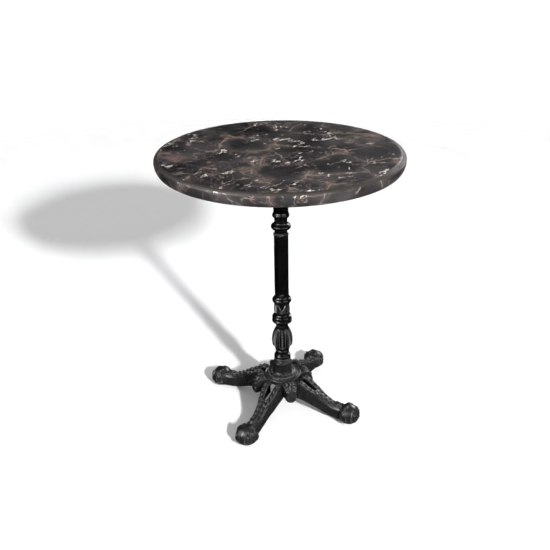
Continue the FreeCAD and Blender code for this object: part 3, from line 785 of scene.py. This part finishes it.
def base_sculpt(material):
    """The CAD casting and its ornament melted into one skin."""
    ornament = Ornament("base_casting")
    for angle in LEG_ANGLES:
        ornament_bars(ornament, angle)
        ornament_arm(ornament, angle)
        ornament_foot(ornament, angle)
    for angle in LOBE_ANGLES:
        ornament_lobe(ornament, angle)
    ornament_hub(ornament)
    cad = frame["nodes"]["base_casting"].data
    vertices = [v.co.copy() for v in cad.vertices]
    faces = [tuple(p.vertices) for p in cad.polygons]
    first = len(vertices)
    vertices += ornament.vertices
    faces += [tuple(first + i for i in face) for face in ornament.faces]
    piece = new_piece("base_sculpt", vertices, faces)
    for kind, settings in (
        ("REMESH", {"mode": "VOXEL", "voxel_size": VOXEL}),
        ("SMOOTH", {"factor": 0.5, "iterations": 1}),
    ):
        step = piece.modifiers.new(kind.lower(), kind)
        for key, value in settings.items():
            setattr(step, key, value)
    evaluated = piece.evaluated_get(bpy.context.evaluated_depsgraph_get())
    melted = bpy.data.meshes.new_from_object(evaluated)
    piece.modifiers.clear()
    piece.data = melted
    clear_glide_holes(melted)
    for polygon in melted.polygons:
        polygon.use_smooth = True
    return finish_piece(piece, material, "base_iron", "base_casting")


# ---------------------------------------------------------------- stage
VIEW_AZIMUTH = math.radians(-16.8)
CAMERA_DISTANCE = 1.661
CAMERA_HEIGHT = 1.223
CAMERA_PITCH = math.radians(26.4)
CAMERA_ROLL = math.radians(-0.7)
CAMERA_LENS = 46.8         # millimetres, for a sensor 36 mm wide
CAMERA_SHIFT = -0.0118
FLOOR_FADE = (2.6, 3.6)    # the floor melts into the white surround between these distances from the table
SKY_LIGHT = 0.61           # strength of the white surround as a light
SKY_SEEN = 1.02            # its strength as the camera sees it


def view_point(right, away, up):
    """A point given as seen from the camera: to its right, away from it and up, from the table's axis."""
    c, s = math.cos(VIEW_AZIMUTH), math.sin(VIEW_AZIMUTH)
    return Vector((right * c - away * s, right * s + away * c, up))


def floor_paper():
    """White paper without sheen that ends softly in the white surround."""
    paint = Paint("floor_paper")
    grain = paint.noise(30.0, 3.0)
    colour = paint.mix(grain, (0.86, 0.86, 0.86), (0.89, 0.89, 0.89))
    away = paint.node("ShaderNodeVectorMath", {0: paint.place}, operation="LENGTH").outputs["Value"]
    return paint.finish(colour, 1.0, Specular_IOR_Level=0.0, Alpha=paint.fade(away, *FLOOR_FADE, 1.0, 0.0))


def stage_floor():
    """A sheet just under the table that fades out before its edges."""
    reach = 4.0
    corners = [(-reach, -reach, 0), (reach, -reach, 0), (reach, reach, 0), (-reach, reach, 0)]
    piece = new_piece("floor", corners, [(0, 1, 2, 3)], smooth=False)
    piece.data.materials.append(floor_paper())
    piece.location.z = -0.0005
    piece.visible_glossy = False


def camera():
    data = bpy.data.cameras.new("camera")
    data.lens = CAMERA_LENS
    data.sensor_width = 36.0
    data.shift_x = CAMERA_SHIFT
    seen = bpy.data.objects.new("camera", data)
    bpy.context.scene.collection.objects.link(seen)
    seen.location = view_point(0, -CAMERA_DISTANCE, CAMERA_HEIGHT)
    looking = Matrix.Rotation(VIEW_AZIMUTH, 4, "Z") @ Matrix.Rotation(math.pi / 2 - CAMERA_PITCH, 4, "X")
    seen.rotation_euler = (looking @ Matrix.Rotation(CAMERA_ROLL, 4, "Z")).to_euler()
    bpy.context.scene.camera = seen


def soft_light(name, place, size, power, target=(0, 0, 0.4), lights=True, shines=True):
    """A rectangular lamp aimed at a point; it may be left out of the lighting or of the reflections."""
    data = bpy.data.lights.new(name, "AREA")
    data.shape = "RECTANGLE"
    data.size, data.size_y = size
    data.energy = power
    lamp = bpy.data.objects.new(name, data)
    bpy.context.scene.collection.objects.link(lamp)
    lamp.location = place
    aim = Vector(target) - Vector(place)
    lamp.rotation_euler = aim.to_track_quat("-Z", "Y").to_euler()
    lamp.visible_diffuse = lights
    lamp.visible_glossy = shines
    return lamp


def sky():
    """White behind the table, dimmer as a light, and absent from reflections."""
    world = bpy.data.worlds.new("studio")
    bpy.context.scene.world = world
    world.use_nodes = True
    tree = world.node_tree
    path = tree.nodes.new("ShaderNodeLightPath")
    level = tree.nodes.new("ShaderNodeMapRange")
    tree.links.new(path.outputs["Is Camera Ray"], level.inputs["Value"])
    level.inputs["To Min"].default_value = SKY_LIGHT
    level.inputs["To Max"].default_value = SKY_SEEN
    tree.links.new(level.outputs["Result"], tree.nodes["Background"].inputs["Strength"])
    tree.nodes["Background"].inputs["Color"].default_value = (1.0, 1.0, 1.0, 1.0)
    world.cycles_visibility.glossy = False


def even_falloff(lamp):
    """Makes a lamp as bright far away as it is near."""
    tree = lamp.data.node_tree
    falloff = tree.nodes.new("ShaderNodeLightFalloff")
    falloff.inputs["Strength"].default_value = 1.0
    tree.links.new(falloff.outputs["Constant"], tree.nodes["Emission"].inputs["Strength"])


def studio():
    """A soft key from the front right throws the long shadow; strips and cards only add highlights."""
    sky()
    key = soft_light("key", view_point(1.70, -3.19, 2.25), (0.26, 0.26), 16, shines=False)
    key.data.use_nodes = True
    even_falloff(key)
    soft_light("left_strip", view_point(-2.0, -1.5, 1.5), (0.25, 1.8), 80, lights=False)
    soft_light("left_card", view_point(-2.4, -0.6, 1.9), (1.4, 1.4), 18, (0, 0, 0.7), lights=False)
    soft_light("back_card", view_point(1.9, 2.4, 1.5), (1.6, 1.0), 65, (0, 0, 0.7), lights=False)
    soft_light("right_card", view_point(2.4, -1.2, 1.0), (0.4, 1.6), 14, lights=False)
    soft_light("low_front", view_point(-0.9, -2.2, 1.3), (0.4, 0.4), 16, (0, 0, 0.1), lights=False)
    soft_light("front_right", view_point(1.3, -2.0, 1.6), (0.3, 0.3), 14, (0, 0, 0.1), lights=False)
    view = bpy.context.scene.view_settings
    view.view_transform = "Standard"
    view.look = "None"
    view.exposure = 0.0


# ---------------------------------------------------------------- assembly
FINISH = {
    # The third colour of each cast finish is the ridge colour, part rub wear and part painted highlight.
    "base_iron": cast_satin(
        "base_iron", (0.0090, 0.0090, 0.0092), (0.0165, 0.0165, 0.0168), (0.210, 0.210, 0.212)),
    "column_gloss": column_enamel(),
    "spider_iron": cast_satin(
        "spider_iron", (0.010, 0.010, 0.0103), (0.019, 0.019, 0.0195), (0.050, 0.050, 0.052)),
    "panel_board": pressed_board(),
    "marble_decor": marble_decor(),
    "zinc_steel": zinc_plate(),
    "glide_nylon": glide_nylon(),
}

for part in frame["record"]["subparts"]:
    node = frame["nodes"][part["node"]]
    for place in node.material_slots:
        place.material = FINISH[part["material_slot"]]

marble_top(FINISH["marble_decor"])
column(FINISH["column_gloss"])
base_sculpt(FINISH["base_iron"])
stage_floor()
camera()
studio()
